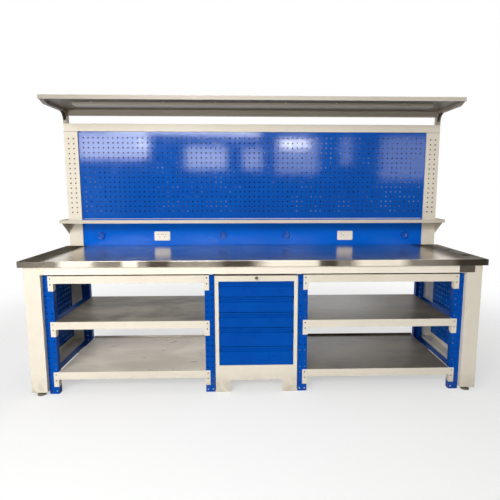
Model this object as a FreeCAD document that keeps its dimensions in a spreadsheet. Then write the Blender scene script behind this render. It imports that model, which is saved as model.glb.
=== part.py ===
import FreeCAD, Part
import Sketcher
import math
import os

# Workbench with pegboard: a steel bench with two racks and a drawer cabinet under a
# stainless worktop, and a pegboard, shelf and lamp canopy on two posts behind it.
# X runs along the bench, Y to the back, Z up from the floor. Millimetres.

doc = FreeCAD.newDocument("workbench")
sheet = doc.addObject("Spreadsheet::Sheet", "Sizes")


class Size:
    """A length with its number and the sheet formula that gives it."""

    def __init__(self, number, formula=None):
        self.number = float(number)
        self.formula = formula or f"({number})"

    @staticmethod
    def of(amount):
        return amount if isinstance(amount, Size) else Size(amount)

    def joined(self, sign, other, number):
        return Size(number, f"({self.formula} {sign} {other.formula})")

    def __add__(self, other):
        other = Size.of(other)
        return self.joined("+", other, self.number + other.number)

    def __sub__(self, other):
        other = Size.of(other)
        return self.joined("-", other, self.number - other.number)

    def __mul__(self, other):
        other = Size.of(other)
        return self.joined("*", other, self.number * other.number)

    def __truediv__(self, other):
        other = Size.of(other)
        return self.joined("/", other, self.number / other.number)

    def __radd__(self, other):
        return Size.of(other) + self

    def __rsub__(self, other):
        return Size.of(other) - self

    def __rmul__(self, other):
        return Size.of(other) * self

    def __neg__(self):
        return Size(0) - self


class Sizes:
    """The driving dimensions: one sheet row each, read here by alias."""

    def __init__(self, rows):
        for line, (alias, number, meaning) in enumerate(rows, start=1):
            sheet.set(f"A{line}", meaning)
            sheet.set(f"B{line}", str(number))
            sheet.setAlias(f"B{line}", alias)
            setattr(self, alias, Size(number, f"Sizes.{alias}"))


size = Sizes([
    ("bench_length", 3000, "worktop end to end"),
    ("bench_depth", 750, "worktop front to back"),
    ("bench_front", -405, "Y of the worktop's front edge"),
    ("bench_height", 900, "floor to the top of the worktop"),
    ("worktop_thickness", 40, "worktop edge"),
    ("skin", 2, "stainless skin of the worktop"),
    ("skin_radius", 4, "rounding of the worktop's edges"),
    ("sheet_steel", 2, "wall of the folded frame pieces"),
    ("thin_sheet", 1.5, "wall of panels, trays and drawers"),
    ("leg_width", 102, "leg across the bench"),
    ("leg_depth", 60, "leg front to back"),
    ("leg_inset", 28, "worktop end to the leg"),
    ("leg_setback", 15, "worktop front edge to the front leg"),
    ("foot_height", 25, "floor to the underside of a leg"),
    ("foot_radius", 28.5, "levelling foot pad"),
    ("stem_radius", 6, "levelling foot stem"),
    ("rail_height", 50, "aprons and upper end rails"),
    ("rail_depth", 40, "depth of the aprons and width of the upper end rails"),
    ("low_rail_height", 33, "lower end rail, height"),
    ("low_rail_bottom", 116, "floor to the lower end rail"),
    ("low_rail_inset", 15, "inner face of the leg to the lower end rail"),
    ("low_rail_upstand", 28, "flange of the lower end rail that holds the end panel"),
    ("end_panel_bottom", 165, "floor to the end panel"),
    ("end_panel_inset", 11, "outer face of the leg to the end panel"),
    ("hole_pitch", 38, "pitch of all hole rows"),
    ("peg_hole", 10, "side of the square pegboard holes"),
    ("post_hole", 10, "side of the square post holes"),
    ("rack_setback", 45, "worktop front edge to the rack"),
    ("rack_depth", 660, "rack front to back"),
    ("rack_outer", 1369, "middle of the bench to the rack's outer side"),
    ("rack_inner", 275, "middle of the bench to the rack's inner side"),
    ("upright_width", 62, "rack upright across the bench"),
    ("upright_depth", 40, "flanges of a rack upright"),
    ("upright_height", 798, "rack upright"),
    ("upright_hole", 4.5, "radius of the upright's holes"),
    ("upright_edge", 14.5, "upright's side to its hole row"),
    ("upright_first", 19, "floor to the first hole"),
    ("upright_round", 10, "rounding of the upright's lower corners"),
    ("beam_height", 50, "rack beam"),
    ("beam_depth", 36, "rack beam front to back"),
    ("beam_plate", 3, "steel of the rack beams"),
    ("lug_width", 30, "beam end lug on the upright"),
    ("lug_height", 100, "beam end lug, from the beam's top down"),
    ("lug_hole_high", 18, "beam top to the upper lug hole"),
    ("lug_hole_low", 56, "beam top to the lower lug hole"),
    ("high_level", 797, "top of the upper beams"),
    ("mid_level", 493, "top of the middle shelf"),
    ("low_level", 151, "top of the lower shelf"),
    ("shelf_rim", 22, "folded rim of a shelf panel and depth of the beams' ledge"),
    ("shelf_upstand", 15, "rear upstand of the lower shelves"),
    ("tie_height", 40, "side tie of the rack"),
    ("cabinet_width", 542, "drawer cabinet"),
    ("cabinet_depth", 650, "drawer cabinet front to back"),
    ("cabinet_height", 792, "drawer cabinet"),
    ("cabinet_setback", 42, "worktop front edge to the cabinet and the beams"),
    ("lock_rail", 37, "front rail above the drawers"),
    ("plinth_height", 183, "plinth under the drawers"),
    ("plinth_gap_width", 344, "cut-out of the plinth"),
    ("plinth_gap_height", 83, "cut-out of the plinth"),
    ("mouth_width", 493, "opening between the cabinet's stiles"),
    ("drawer_width", 490, "drawer front"),
    ("drawer_top", 753, "floor to the top of the first drawer"),
    ("small_drawer", 100, "height of the upper three drawer fronts"),
    ("large_drawer", 125, "height of the lower two drawer fronts"),
    ("drawer_gap", 4, "gap between drawer fronts"),
    ("front_depth", 18, "drawer front, front to back"),
    ("pull_height", 35, "full-width pull, from the top of the front"),
    ("pull_depth", 12, "finger channel of the pull"),
    ("pull_lip", 11, "height of the pull's lip"),
    ("box_half_width", 232, "drawer box, half its width"),
    ("box_depth", 580, "drawer box front to back"),
    ("runner_width", 8, "runner on the drawer box"),
    ("runner_height", 24, "runner on the drawer box"),
    ("slide_height", 32, "fixed slide channel"),
    ("slide_overlap", 4, "runner inside the slide channel"),
    ("slide_level", 30, "drawer's bottom to the middle of its slide"),
    ("lock_level", 777, "floor to the lock"),
    ("lock_bezel", 10.5, "radius of the lock's bezel"),
    ("barrel_radius", 9, "lock's barrel, and the hole in the lock rail"),
    ("plug_radius", 6, "radius of the lock's plug"),
    ("cam_reach", 5.66, "lock's axis to the cam pin"),
    ("bar_width", 12, "locking bar"),
    ("bar_thickness", 3, "locking bar"),
    ("bar_recess", 10, "cabinet front to the locking bar"),
    ("bar_clearance", 7, "cabinet wall to the locking bar"),
    ("bar_play", 0.5, "locking bar in its guides"),
    ("guide_height", 12, "guide of the locking bar"),
    ("post_width", 104, "rear post across the bench"),
    ("post_depth", 60, "rear post front to back"),
    ("post_bottom", 400, "floor to the lower end of a post"),
    ("post_top", 1792, "floor to the top of a post"),
    ("post_row", 19, "middle of the post to each hole row"),
    ("post_first", 1165.5, "floor to the lowest post hole"),
    ("top_rail_height", 58, "rail over the pegboard"),
    ("board_recess", 12, "front of the posts to the pegboard"),
    ("board_flange", 20, "folded edge of the pegboard"),
    ("board_bottom", 1115, "floor to the pegboard"),
    ("board_gap", 2, "pegboard to each post"),
    ("board_top_row", 47.4, "pegboard's top edge to its first hole row"),
    ("socket_panel_bottom", 870, "floor to the socket panel"),
    ("socket_panel_top", 1112, "floor to the top of the socket panel"),
    ("shelf_front", 583, "worktop front edge to the mid shelf"),
    ("shelf_floor", 1090, "floor to the mid shelf"),
    ("shelf_lip", 25, "lip of the mid shelf"),
    ("shelf_back", 10, "rear wall of the mid shelf"),
    ("shelf_overhang", 3, "mid shelf beyond the post"),
    ("bracket_low", 995, "floor to the lower tip of the shelf bracket"),
    ("canopy_front", 360, "worktop front edge to the canopy"),
    ("canopy_bottom", 1955, "floor to the canopy tray"),
    ("canopy_lip", 28, "lip of the canopy tray"),
    ("arm_width", 30, "canopy arm across the bench"),
    ("arm_depth", 42, "upright part of the canopy arm, front to back"),
    ("arm_height", 21, "canopy arm under the tray"),
    ("arm_round", 60, "inner curve of the canopy arm"),
    ("rear_beam_height", 40, "beam under the back of the canopy"),
    ("rear_beam_depth", 50, "beam under the back of the canopy"),
    ("lamp_front", 460, "worktop front edge to the lamp"),
    ("lamp_depth", 80, "lamp housing front to back"),
    ("lamp_height", 21, "lamp housing"),
    ("lamp_length", 2560, "lamp housing"),
    ("socket_width", 125, "socket plate"),
    ("socket_height", 74, "socket plate"),
    ("socket_depth", 10, "socket plate"),
    ("socket_level", 975, "floor to the middle of the sockets"),
    ("cover_radius", 31, "round cover cap"),
    ("cover_level", 980, "floor to the middle of the cover caps"),
])

half_length = size.bench_length / 2
bench_back = size.bench_front + size.bench_depth
worktop_bottom = size.bench_height - size.worktop_thickness
leg_outer = half_length - size.leg_inset
leg_inner = leg_outer - size.leg_width
leg_front = size.bench_front + size.leg_setback
rack_front = size.bench_front + size.rack_setback
rack_back = rack_front + size.rack_depth
cabinet_front = size.bench_front + size.cabinet_setback
SIDES = (("left", -1), ("right", 1))

nodes = {}


def piece(thing, label):
    """Keeps a finished sub-part under the name of its node."""
    thing.Label = label
    nodes[label] = thing
    return thing


def place(thing, x=0, y=0, z=0):
    for axis, amount in zip("xyz", (x, y, z)):
        thing.setExpression(f"Placement.Base.{axis}", Size.of(amount).formula)


def block(name, low, high):
    """Box between its lowest and highest corner."""
    low = [Size.of(amount) for amount in low]
    high = [Size.of(amount) for amount in high]
    box = doc.addObject("Part::Box", name)
    for side, near, far in zip(("Length", "Width", "Height"), low, high):
        box.setExpression(side, (far - near).formula)
    place(box, *low)
    return box


def mirrored_block(name, side, low, high):
    """Box given for the right half of the bench; side -1 puts it on the left."""
    if side < 0:
        low, high = (-Size.of(high[0]), *low[1:]), (-Size.of(low[0]), *high[1:])
    return block(name, low, high)


def cut(name, base, *tools):
    for number, tool in enumerate(tools, start=1):
        result = doc.addObject("Part::Cut", f"{name}_cut_{number}")
        result.Base = base
        result.Tool = tool
        base = result
    return base


def fuse(name, *parts):
    result = doc.addObject("Part::MultiFuse", f"{name}_joined")
    result.Shapes = list(parts)
    return result


def group(name, *parts):
    """Separate solids that share one node."""
    result = doc.addObject("Part::Compound", f"{name}_group")
    result.Links = list(parts)
    return result


def pan(name, low, high, wall, open_sides):
    """Folded sheet: a box hollowed by its wall and left open on the named sides."""
    low = [Size.of(amount) for amount in low]
    high = [Size.of(amount) for amount in high]
    hollow_low = [near if "-" + axis in open_sides else near + wall for axis, near in zip("xyz", low)]
    hollow_high = [far if "+" + axis in open_sides else far - wall for axis, far in zip("xyz", high)]
    return cut(name, block(name + "_outside", low, high), block(name + "_inside", hollow_low, hollow_high))


def rod(name, radius, start, length, turn=None):
    """Cylinder from its start point; along +Y unless turned otherwise."""
    cylinder = doc.addObject("Part::Cylinder", name)
    along_y = FreeCAD.Rotation(FreeCAD.Vector(1, 0, 0), -90)
    cylinder.Placement = FreeCAD.Placement(FreeCAD.Vector(), turn or along_y)
    cylinder.setExpression("Radius", Size.of(radius).formula)
    cylinder.setExpression("Height", Size.of(length).formula)
    place(cylinder, *start)
    return cylinder


def body(name, x=0, y=0, z=0, turned=False):
    """Body at a place, turned half round about Z where asked."""
    made = doc.addObject("PartDesign::Body", name)
    half_turn = FreeCAD.Rotation(FreeCAD.Vector(0, 0, 1), 180 if turned else 0)
    made.Placement = FreeCAD.Placement(FreeCAD.Vector(), half_turn)
    place(made, x, y, z)
    return made


def origin_part(made, role):
    return next(part for part in made.Origin.OriginFeatures if part.Role == role)


def sketch(made, plane):
    drawn = made.newObject("Sketcher::SketchObject", f"{made.Name}_{plane}")
    drawn.AttachmentSupport = [(origin_part(made, plane + "_Plane"), "")]
    drawn.MapMode = "FlatFace"
    return drawn


def pin_down(drawn, geometry, point, x, y):
    """Ties one point of a sketch to its two coordinates."""
    for kind, axis, amount in (("DistanceX", -2, Size.of(x)), ("DistanceY", -1, Size.of(y))):
        if amount.number == 0:
            drawn.addConstraint(Sketcher.Constraint("PointOnObject", geometry, point, axis))
            continue
        index = drawn.addConstraint(Sketcher.Constraint(kind, -1, 1, geometry, point, amount.number))
        drawn.setExpression(f"Constraints[{index}]", amount.formula)


def outline(drawn, points):
    """Closed outline of straight edges through the points."""
    points = [(Size.of(x), Size.of(y)) for x, y in points]
    corners = [FreeCAD.Vector(x.number, y.number, 0) for x, y in points]
    edges = [
        drawn.addGeometry(Part.LineSegment(start, end), False)
        for start, end in zip(corners, corners[1:] + corners[:1])
    ]
    for edge, following, (x, y) in zip(edges, edges[1:] + edges[:1], points):
        drawn.addConstraint(Sketcher.Constraint("Coincident", edge, 2, following, 1))
        pin_down(drawn, edge, 1, x, y)


def rectangle(drawn, x_low, y_low, x_high, y_high):
    outline(drawn, [(x_low, y_low), (x_high, y_low), (x_high, y_high), (x_low, y_high)])


def circle(drawn, x, y, radius):
    x, y, radius = Size.of(x), Size.of(y), Size.of(radius)
    centre = FreeCAD.Vector(x.number, y.number, 0)
    ring = drawn.addGeometry(Part.Circle(centre, FreeCAD.Vector(0, 0, 1), radius.number), False)
    pin_down(drawn, ring, 3, x, y)
    index = drawn.addConstraint(Sketcher.Constraint("Radius", ring, radius.number))
    drawn.setExpression(f"Constraints[{index}]", radius.formula)


def pad(made, drawn, length, reverse=False, both_ways=False):
    feature = made.newObject("PartDesign::Pad", f"{drawn.Name}_pad")
    feature.Profile = drawn
    feature.setExpression("Length", Size.of(length).formula)
    feature.Reversed = reverse
    feature.SideType = "Symmetric" if both_ways else "One side"
    return feature


def pocket(made, drawn, length, reverse=False, both_ways=False):
    feature = made.newObject("PartDesign::Pocket", f"{drawn.Name}_pocket")
    feature.Profile = drawn
    feature.setExpression("Length", Size.of(length).formula)
    feature.Reversed = reverse
    feature.SideType = "Symmetric" if both_ways else "One side"
    return feature


def repeat(made, feature, axis, spacing, count):
    """Linear pattern along one axis of the body."""
    pattern = made.newObject("PartDesign::LinearPattern", f"{feature.Name}_row")
    pattern.Originals = [feature]
    pattern.Direction = (origin_part(made, axis + "_Axis"), [""])
    pattern.Mode = "Spacing"
    pattern.setExpression("Offset", Size.of(spacing).formula)
    pattern.Occurrences = count
    made.Tip = pattern
    return pattern


def mirror(made, feature, plane):
    mirrored = made.newObject("PartDesign::Mirrored", f"{feature.Name}_mirrored")
    mirrored.Originals = [feature]
    mirrored.MirrorPlane = (origin_part(made, plane + "_Plane"), [""])
    made.Tip = mirrored
    return mirrored


# Places closer than this, in millimetres, count as one
touching = 0.01


def edges_where(shape, wanted):
    """Names of the shape's edges whose middle point is wanted."""
    names = []
    for number, edge in enumerate(shape.Edges, start=1):
        middle = edge.valueAt((edge.FirstParameter + edge.LastParameter) / 2)
        if wanted(middle, edge):
            names.append(f"Edge{number}")
    return names


def round_edges(made, feature, names, radius):
    fillet = made.newObject("PartDesign::Fillet", f"{made.Name}_rounding")
    fillet.Base = (feature, names)
    fillet.setExpression("Radius", Size.of(radius).formula)
    made.Tip = fillet
    return fillet


# Worktop: a stainless skin folded down over a board core

def make_worktop():
    low = (-half_length, size.bench_front, worktop_bottom)
    skin_body = body("skin", 0, size.bench_front, worktop_bottom)
    top_view = sketch(skin_body, "XY")
    rectangle(top_view, -half_length, 0, half_length, size.bench_depth)
    slab = pad(skin_body, top_view, size.worktop_thickness)
    doc.recompute()
    thickness = size.worktop_thickness.number
    upper = edges_where(slab.Shape, lambda middle, edge: middle.z > thickness - touching)
    rounded = round_edges(skin_body, slab, upper, size.skin_radius)
    inside = sketch(skin_body, "XY")
    rectangle(
        inside, size.skin - half_length, size.skin, half_length - size.skin, size.bench_depth - size.skin)
    pocket(skin_body, inside, size.worktop_thickness - size.skin, reverse=True)
    piece(skin_body, "worktop_skin")
    high = (half_length, bench_back, size.bench_height)
    core_low = (low[0] + size.skin, low[1] + size.skin, low[2])
    core = block("core", core_low, [far - size.skin for far in high])
    piece(core, "worktop_core")


# Bench frame: box legs on levelling feet, joined by folded aprons and end rails

def make_leg(label, side, front):
    centre = side * (leg_inner + size.leg_width / 2)
    leg = body(label + "_body", centre, front + size.leg_depth / 2, size.foot_height)
    half_width, half_depth = size.leg_width / 2, size.leg_depth / 2
    section = sketch(leg, "XY")
    rectangle(section, -half_width, -half_depth, half_width, half_depth)
    inner_width, inner_depth = half_width - size.sheet_steel, half_depth - size.sheet_steel
    rectangle(section, -inner_width, -inner_depth, inner_width, inner_depth)
    pad(leg, section, worktop_bottom - size.foot_height)
    base = sketch(leg, "XY")
    rectangle(base, -half_width, -half_depth, half_width, half_depth)
    circle(base, 0, 0, size.stem_radius + 0.5)
    pad(leg, base, 3 * size.sheet_steel)
    piece(leg, label)


def make_foot(name, x, y):
    """Round pad with a threaded stem that reaches into the leg, and its lock nut."""
    foot = body(name + "_body", x, y)
    half_section = sketch(foot, "XZ")
    rim, bevel, shoulder, nut_bottom, nut_height = 8, 3, 12, 14, 9
    stem_top = size.foot_height + 30
    outline(half_section, [
        (0, 0), (size.foot_radius, 0), (size.foot_radius, rim / 2), (size.foot_radius - bevel, rim),
        (2 * size.stem_radius, shoulder), (size.stem_radius, shoulder), (size.stem_radius, stem_top),
        (0, stem_top)])
    turned = foot.newObject("PartDesign::Revolution", name + "_turned")
    turned.Profile = half_section
    turned.ReferenceAxis = (half_section, ["V_Axis"])
    turned.Angle = 360
    nut = doc.addObject("Part::Prism", name + "_hexagon")
    nut.Polygon = 6
    corner_radius = 1.9 * size.stem_radius
    nut.setExpression("Circumradius", corner_radius.formula)
    nut.Height = nut_height
    place(nut, x, y, nut_bottom)
    thread = rod(name + "_thread", size.stem_radius, (x, y, 0), stem_top, FreeCAD.Rotation())
    return foot, cut(name + "_nut", nut, thread)


def make_frame():
    rear_leg_front = bench_back - size.leg_depth
    feet = []
    for side_name, side in SIDES:
        for row_name, front in (("front", leg_front), ("rear", rear_leg_front)):
            make_leg(f"leg_{row_name}_{side_name}", side, front)
            centre = side * (leg_inner + size.leg_width / 2)
            feet += make_foot(f"foot_{row_name}_{side_name}", centre, front + size.leg_depth / 2)
    piece(group("feet", *feet), "levelling_feet")
    apron_bottom = worktop_bottom - size.rail_height
    for label, front, back, open_side in (
            ("front_apron", leg_front, leg_front + size.rail_depth, "+y"),
            ("rear_apron", bench_back - size.rail_depth, bench_back, "-y")):
        apron = pan(
            label, (-leg_inner, front, apron_bottom), (leg_inner, back, worktop_bottom),
            size.sheet_steel, open_side)
        piece(apron, label)
    rails = []
    near, far = leg_front + size.leg_depth, rear_leg_front
    rail_middle = leg_inner + size.leg_width / 2
    low_inner = leg_inner + size.low_rail_inset
    low_outer = leg_outer - size.end_panel_inset - size.thin_sheet
    low_top = size.low_rail_bottom + size.low_rail_height
    for side_name, side in SIDES:
        upper_edges = (rail_middle - size.rail_depth / 2, rail_middle + size.rail_depth / 2)
        rail = {}
        for level, edges, bottom, top in (
                ("top", upper_edges, apron_bottom, worktop_bottom),
                ("low", (low_inner, low_outer), size.low_rail_bottom, low_top)):
            inner, outer = edges if side > 0 else (-edges[1], -edges[0])
            rail[level] = pan(
                f"{level}_rail_{side_name}", (inner, near, bottom), (outer, far, top),
                size.sheet_steel, "-z")
        flange = mirrored_block(
            f"panel_flange_{side_name}", side, (low_outer - size.sheet_steel, near, low_top),
            (low_outer, far, low_top + size.low_rail_upstand))
        rails += [rail["top"], fuse(f"low_rail_{side_name}", rail["low"], flange)]
    piece(group("end_rail", *rails), "end_rails")


# Perforated sheets: strips with one column of square holes each, joined side by side

def square(x, z, across, up):
    corners = ((x, z), (x, z + up), (x + across, z + up), (x + across, z), (x, z))
    return Part.makePolygon([FreeCAD.Vector(a, 0, b) for a, b in corners])


def holed_sheet(width, height, columns, rows, first_x, first_z, thickness):
    """Upright sheet in the XZ plane, from its lower left corner."""
    pitch, hole = size.hole_pitch.number, size.peg_hole.number
    seams = [0] + [first_x + (column + 0.5) * pitch for column in range(columns - 1)] + [width]
    strips = []
    for column, (left, right) in enumerate(zip(seams, seams[1:])):
        wires = [square(left, 0, right - left, height)]
        hole_x = first_x + column * pitch - hole / 2
        for row in range(rows):
            wires.append(square(hole_x, first_z + row * pitch - hole / 2, hole, hole).reversed())
        strips.append(Part.Face(wires).extrude(FreeCAD.Vector(0, thickness, 0)))
    return strips[0].multiFuse(strips[1:])


def make_pegboard():
    columns, rows = 71, 16
    half = (leg_inner - size.board_gap).number
    bottom, top = size.board_bottom.number, size.post_top.number
    front = (bench_back + size.board_recess).number
    wall, flange = size.thin_sheet.number, size.board_flange.number
    pitch = size.hole_pitch.number
    width, height = 2 * half, top - bottom
    first_x = half - (columns - 1) / 2 * pitch
    first_z = height - size.board_top_row.number - (rows - 1) * pitch
    board = holed_sheet(width, height, columns, rows, first_x, first_z, wall)
    room = Part.makeBox(width - 2 * wall, flange, height - 2 * wall, FreeCAD.Vector(wall, 0, wall))
    rim = Part.makeBox(width, flange, height).cut(room)
    rim.translate(FreeCAD.Vector(0, wall, 0))
    feature = doc.addObject("Part::Feature", "board")
    feature.Shape = board.fuse(rim)
    feature.Placement = FreeCAD.Placement(FreeCAD.Vector(-half, front, bottom), FreeCAD.Rotation())
    piece(feature, "pegboard")


def make_end_panels():
    columns, rows = 15, 16
    near = (leg_front + size.leg_depth).number
    far = (bench_back - size.leg_depth).number
    bottom, top = size.end_panel_bottom.number, (worktop_bottom - size.rail_height).number
    width, height = far - near, top - bottom
    pitch, wall = size.hole_pitch.number, size.thin_sheet.number
    margin_x = (width - (columns - 1) * pitch) / 2
    margin_z = (height - (rows - 1) * pitch) / 2
    panel = holed_sheet(width, height, columns, rows, margin_x, margin_z, wall)
    outer = (leg_outer - size.end_panel_inset).number
    quarter_turn = FreeCAD.Rotation(FreeCAD.Vector(0, 0, 1), 90)
    for side_name, side in SIDES:
        feature = doc.addObject("Part::Feature", f"panel_{side_name}")
        feature.Shape = panel
        x = outer if side > 0 else wall - outer
        feature.Placement = FreeCAD.Placement(FreeCAD.Vector(x, near, bottom), quarter_turn)
        piece(feature, f"end_panel_{side_name}")


# Racks: perforated C uprights, step beams with end lugs, ties and shelf panels

def make_upright(name, centre, y, turned):
    """C section that opens away from its own face, with two rows of bolt holes."""
    upright = body(name, centre, y, 0, turned)
    half, wall = size.upright_width / 2, size.sheet_steel
    section = sketch(upright, "XY")
    outline(section, [
        (-half, 0), (half, 0), (half, size.upright_depth), (half - wall, size.upright_depth),
        (half - wall, wall), (wall - half, wall), (wall - half, size.upright_depth),
        (-half, size.upright_depth)])
    channel = pad(upright, section, size.upright_height)
    doc.recompute()
    depth = size.upright_depth.number

    def at_foot_corner(middle, edge):
        flange_end = abs(middle.y - depth) < touching and edge.Length < 2 * wall.number
        return middle.z < touching and flange_end

    round_edges(upright, channel, edges_where(channel.Shape, at_foot_corner), size.upright_round)
    holes = sketch(upright, "XZ")
    row, hole_count = half - size.upright_edge, 21
    for x in (-row, row):
        circle(holes, x, size.upright_first, size.upright_hole)
    drilled = pocket(upright, holes, 2 * wall, both_ways=True)
    repeat(upright, drilled, "Z", size.hole_pitch, hole_count)
    return upright


def make_beam(name, centre, y, top, turned=False):
    """Step beam: front plate with two lugs, a ledge for the shelf and a lower flange."""
    beam = body(name, centre, y, top, turned)
    clear = (size.rack_outer - size.rack_inner) / 2 - size.upright_width
    reach, plate = clear + size.lug_width, size.beam_plate
    front = sketch(beam, "XZ")
    outline(front, [
        (-reach, 0), (reach, 0), (reach, -size.lug_height), (clear, -size.lug_height),
        (clear, -size.beam_height), (-clear, -size.beam_height), (-clear, -size.lug_height),
        (-reach, -size.lug_height)])
    for x in (-reach + size.lug_width - size.upright_edge, reach - size.lug_width + size.upright_edge):
        for drop in (size.lug_hole_high, size.lug_hole_low):
            circle(front, x, -drop, size.upright_hole)
    face = pad(beam, front, plate, reverse=True)
    profile = sketch(beam, "YZ")
    ledge = -size.shelf_rim
    for low in (ledge - plate, -size.beam_height):
        rectangle(profile, plate, low, size.beam_depth, low + plate)
    pad(beam, profile, 2 * clear, both_ways=True)
    cheek = sketch(beam, "YZ")
    slant = 14
    outline(cheek, [
        (0, 0), (size.beam_depth, 0), (size.beam_depth, slant - size.lug_height),
        (size.beam_depth - slant, -size.lug_height), (0, -size.lug_height)])
    cheek.setExpression("AttachmentOffset.Base.z", (clear - plate).formula)
    side = pad(beam, cheek, plate)
    mirror(beam, side, "YZ")
    return beam


def make_rack(side_name, side):
    middle = side * (size.rack_outer + size.rack_inner) / 2
    outer = side * (size.rack_outer - size.upright_width / 2)
    inner = side * (size.rack_inner + size.upright_width / 2)
    back_frame = []
    for place_name, centre in (("outer", outer), ("inner", inner)):
        label = f"{side_name}_rack_upright_{place_name}"
        piece(make_upright(label + "_body", centre, rack_front, False), label)
        back_frame.append(make_upright(f"{label}_rear", centre, rack_back, True))
    levels = (("top", size.high_level), ("mid", size.mid_level), ("low", size.low_level))
    beam_back = rack_back + size.beam_plate
    rear_beams = []
    for level, top in levels:
        label = f"{side_name}_rack_beam_{level}"
        piece(make_beam(label + "_body", middle, cabinet_front, top), label)
        rear_beams.append(make_beam(f"{label}_rear", middle, beam_back, top, turned=True))
    piece(group(f"{side_name}_rear_beam", *rear_beams), f"{side_name}_rack_rear_beams")
    wall = size.sheet_steel
    outer_flange = size.rack_outer - wall
    inner_flange = size.rack_inner + size.upright_width - wall
    for level, top in levels:
        for place_name, flange in (("outer", outer_flange), ("inner", inner_flange)):
            low_x = flange - size.beam_plate
            low = (low_x, rack_front + wall, top - size.beam_height)
            high = (flange, rack_back - wall, top - size.beam_height + size.tie_height)
            back_frame.append(mirrored_block(f"{side_name}_{place_name}_tie_{level}", side, low, high))
    piece(group(f"{side_name}_back_frame", *back_frame), f"{side_name}_rack_back_frame")
    make_shelf_panels(side_name, side)


def make_shelf_panels(side_name, side):
    gap = size.beam_plate + 1
    inner = size.rack_inner + size.upright_width + gap
    outer = size.rack_outer - size.upright_width - gap
    left, right = (inner, outer) if side > 0 else (-outer, -inner)
    for level, top in (("top", size.high_level), ("mid", size.mid_level), ("low", size.low_level)):
        name = f"{side_name}_shelf_{level}"
        panel = pan(
            name, (left, rack_front, top - size.shelf_rim), (right, rack_back, top),
            size.thin_sheet, "-z")
        if level == "low":
            back = rack_back
            upstand = block(
                name + "_upstand", (left, back - size.thin_sheet, top - size.shelf_rim),
                (right, back, top + size.shelf_upstand))
            panel = fuse(name, panel, upstand)
        piece(panel, name)


# Drawer cabinet: a shell with plinth and lock rail, and five drawers on slides

cabinet_back = cabinet_front + size.cabinet_depth
drawer_heights = [size.small_drawer] * 3 + [size.large_drawer] * 2


def drawer_bottoms():
    """Height of each drawer's lower edge, from the top one down."""
    bottom = size.drawer_top
    for height in drawer_heights:
        bottom = bottom - height
        yield height, bottom
        bottom = bottom - size.drawer_gap


def make_cabinet_shell():
    half, wall = size.cabinet_width / 2, size.sheet_steel
    mouth = size.mouth_width / 2
    floor = size.plinth_height + wall
    mouth_top = size.cabinet_height - size.lock_rail
    front, back = cabinet_front, cabinet_back
    room_near = (wall - half, front + wall)
    room_far = (half - wall, back - wall)
    shell = cut(
        "shell",
        block("shell_outside", (-half, front, 0), (half, back, size.cabinet_height)),
        block("shell_room", (*room_near, floor), (*room_far, size.cabinet_height - wall)),
        block("shell_mouth", (-mouth, front, floor), (mouth, front + wall, mouth_top)),
        block("plinth_room", (*room_near, 0), (*room_far, size.plinth_height)),
        block(
            "plinth_gap", (-size.plinth_gap_width / 2, front, 0),
            (size.plinth_gap_width / 2, back, size.plinth_gap_height)),
        rod("lock_hole", size.barrel_radius, (0, front, size.lock_level), 2 * wall))
    return_depth = 9
    returns = [
        mirrored_block(
            f"stile_return_{side_name}", side, (mouth, front, floor),
            (mouth + wall, front + return_depth, mouth_top))
        for side_name, side in SIDES]
    returns.append(block(
        "rail_return", (-mouth - wall, front, mouth_top),
        (mouth + wall, front + return_depth, mouth_top + wall)))
    guides = []
    bar_left = wall + size.bar_clearance - half
    bar_right = bar_left + size.bar_width
    bar_near = front + size.bar_recess
    bar_far = bar_near + size.bar_thickness
    guide_wall = 3
    for level in (300, 540, 660):
        guide_top = level + size.guide_height
        holder = block(
            f"bar_holder_{level}", (wall - half, front + return_depth - wall, level),
            (-mouth, bar_far + guide_wall, guide_top))
        slot = block(
            f"bar_slot_{level}", (bar_left - size.bar_play, bar_near - size.bar_play, level),
            (bar_right + size.bar_play, bar_far + size.bar_play, guide_top))
        guides.append(cut(f"bar_guide_{level}", holder, slot))
    piece(fuse("shell", shell, *returns, *guides), "cabinet_shell")


def make_slides():
    """Fixed channels on the cabinet's walls, open towards the drawers."""
    channels = []
    wall = size.sheet_steel
    outer = size.cabinet_width / 2 - wall
    inner = size.box_half_width + size.runner_width - size.slide_overlap
    near = cabinet_front + size.front_depth + 2
    far = near + size.box_depth
    for number, (_, bottom) in enumerate(drawer_bottoms(), start=1):
        low = bottom + size.slide_level - size.slide_height / 2
        high = low + size.slide_height
        for side_name, side in SIDES:
            name = f"slide_{number}_{side_name}"
            edges, open_side = ((inner, outer), "-x") if side > 0 else ((-outer, -inner), "+x")
            channels.append(pan(
                name, (edges[0], near, low), (edges[1], far, high), wall, open_side + "-y+y"))
    piece(group("slide", *channels), "drawer_slides")


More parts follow.
